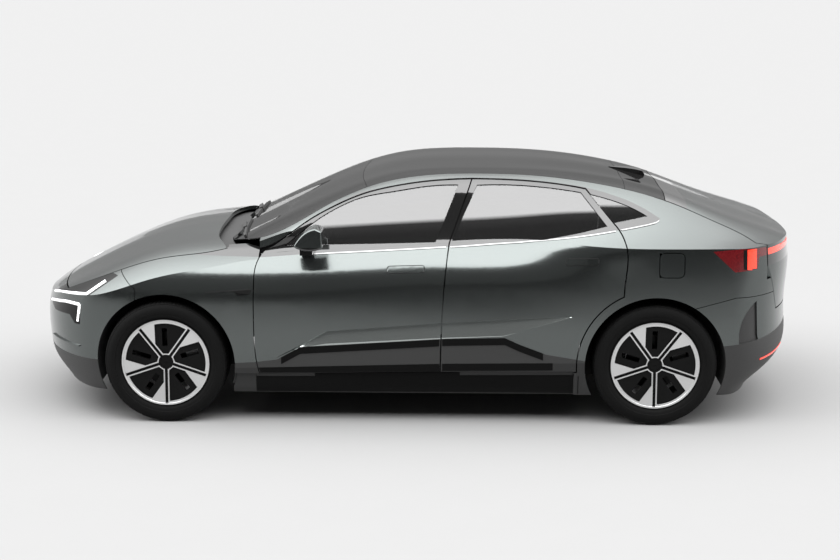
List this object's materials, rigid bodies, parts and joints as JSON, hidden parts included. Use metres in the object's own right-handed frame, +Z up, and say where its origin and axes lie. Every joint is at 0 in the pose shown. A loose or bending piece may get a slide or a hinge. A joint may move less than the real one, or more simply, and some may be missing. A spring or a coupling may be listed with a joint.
{
  "type": "coupe sport utility vehicle",
  "caption": "Five-door fastback electric crossover with a sloping roof line, hinged doors, bonnet, tailgate and charge flap, steered front wheels and turning road wheels.",
  "frame": {"origin": "on the ground under the middle of the car's box", "axes": "+X to the rear, +Y to the car's right, +Z up; the nose points along -X"},
  "size_m": [4.8334, 2.208, 1.534],
  "materials": {
    "paint": "metallic gloss",
    "dark_trim": "matte",
    "tinted_glass": "gloss",
    "roof_black": "gloss",
    "tyre": "matte",
    "wheel": "machined and black",
    "structure": "satin",
    "seat": "woven",
    "cabin_trim": "matte",
    "lamp": "clear",
    "tail_lamp": "clear red",
    "steel": "bare",
    "pack": "cast"
  },
  "bodies": {
    "car_body": {"body_side_left": "paint", "body_side_right": "paint", "front_fenders": "paint", "front_bumper": "paint", "rear_bumper": "paint", "front_skirt": "dark_trim", "rear_skirt": "dark_trim", "cowl": "dark_trim", "wheel_liners": "dark_trim", "windscreen": "tinted_glass", "quarter_windows": "tinted_glass", "roof_glass": "roof_black", "roof_rear_panel": "roof_black", "roof_pod": "roof_black", "floor_pan": "structure", "roof_frame": "structure", "battery_pack": "pack", "drive_units": "pack", "front_suspension": "steel", "rear_suspension": "steel", "rear_knuckles": "steel", "dashboard": "cabin_trim", "centre_console": "cabin_trim", "front_seats": "seat", "rear_bench": "seat", "headlamps": "lamp", "tail_lamps": "tail_lamp"},
    "bonnet": {"bonnet": "paint"},
    "tailgate": {"tailgate": "paint", "light_bar": "tail_lamp"},
    "charge_flap": {"charge_flap": "paint"},
    "steering_wheel": {"steering_wheel": "cabin_trim"},
    "front_door_left": {"door_front_left": "paint", "window_front_left": "tinted_glass", "mirror_left": "paint"},
    "rear_door_left": {"door_rear_left": "paint", "window_rear_left": "tinted_glass"},
    "knuckle_left": {"front_knuckle_left": "steel"},
    "wheel_front_left": {"tyre_front_left": "tyre", "rim_front_left": "wheel"},
    "wheel_rear_left": {"tyre_rear_left": "tyre", "rim_rear_left": "wheel"},
    "front_door_right": {"door_front_right": "paint", "window_front_right": "tinted_glass", "mirror_right": "paint"},
    "rear_door_right": {"door_rear_right": "paint", "window_rear_right": "tinted_glass"},
    "knuckle_right": {"front_knuckle_right": "steel"},
    "wheel_front_right": {"tyre_front_right": "tyre", "rim_front_right": "wheel"},
    "wheel_rear_right": {"tyre_rear_right": "tyre", "rim_rear_right": "wheel"}
  },
  "joints": [
    {"name": "front_door_left_hinge", "type": "hinge", "parent": "car_body", "child": "front_door_left", "pos_m": [-0.92, -0.98402, 0.65], "axis": [0, 0, -1], "range_deg": [0, 68]},
    {"name": "rear_door_left_hinge", "type": "hinge", "parent": "car_body", "child": "rear_door_left", "pos_m": [0.24, -0.98517, 0.65], "axis": [0, 0, -1], "range_deg": [0, 72]},
    {"name": "front_door_right_hinge", "type": "hinge", "parent": "car_body", "child": "front_door_right", "pos_m": [-0.92, 0.98402, 0.65], "axis": [0, 0, 1], "range_deg": [0, 68]},
    {"name": "rear_door_right_hinge", "type": "hinge", "parent": "car_body", "child": "rear_door_right", "pos_m": [0.24, 0.98517, 0.65], "axis": [0, 0, 1], "range_deg": [0, 72]},
    {"name": "bonnet_hinge", "type": "hinge", "parent": "car_body", "child": "bonnet", "pos_m": [-1.16, 0, 1.054], "axis": [0, 1, 0], "range_deg": [0, 55]},
    {"name": "tailgate_hinge", "type": "hinge", "parent": "car_body", "child": "tailgate", "pos_m": [1.594, 0, 1.354], "axis": [0, -1, 0], "range_deg": [0, 75]},
    {"name": "charge_flap_hinge", "type": "hinge", "parent": "car_body", "child": "charge_flap", "pos_m": [1.505, -0.986, 1.01], "axis": [0, 0, -1], "range_deg": [0, 100]},
    {"name": "steer_left", "type": "hinge", "parent": "car_body", "child": "knuckle_left", "pos_m": [-1.515, -0.775, 0.381], "axis": [0, 0, 1], "range_deg": [-33, 33]},
    {"name": "steer_right", "type": "hinge", "parent": "car_body", "child": "knuckle_right", "pos_m": [-1.515, 0.775, 0.381], "axis": [0, 0, 1], "range_deg": [-33, 33]},
    {"name": "steering_wheel_turn", "type": "hinge", "parent": "car_body", "child": "steering_wheel", "pos_m": [-0.455, -0.37, 0.925], "axis": [0.9272, 0, 0.3746], "range_deg": [-480, 480]},
    {"name": "wheel_front_left_spin", "type": "hinge", "parent": "knuckle_left", "child": "wheel_front_left", "pos_m": [-1.515, -0.857, 0.381], "axis": [0, 1, 0], "continuous": true},
    {"name": "wheel_front_right_spin", "type": "hinge", "parent": "knuckle_right", "child": "wheel_front_right", "pos_m": [-1.515, 0.857, 0.381], "axis": [0, 1, 0], "continuous": true},
    {"name": "wheel_rear_left_spin", "type": "hinge", "parent": "car_body", "child": "wheel_rear_left", "pos_m": [1.485, -0.857, 0.381], "axis": [0, 1, 0], "continuous": true},
    {"name": "wheel_rear_right_spin", "type": "hinge", "parent": "car_body", "child": "wheel_rear_right", "pos_m": [1.485, 0.857, 0.381], "axis": [0, 1, 0], "continuous": true}
  ],
  "couplings": [
    {"joint": "steer_right", "follows": "steer_left", "ratio": 1},
    {"joint": "steering_wheel_turn", "follows": "steer_left", "ratio": 14.545}
  ]
}
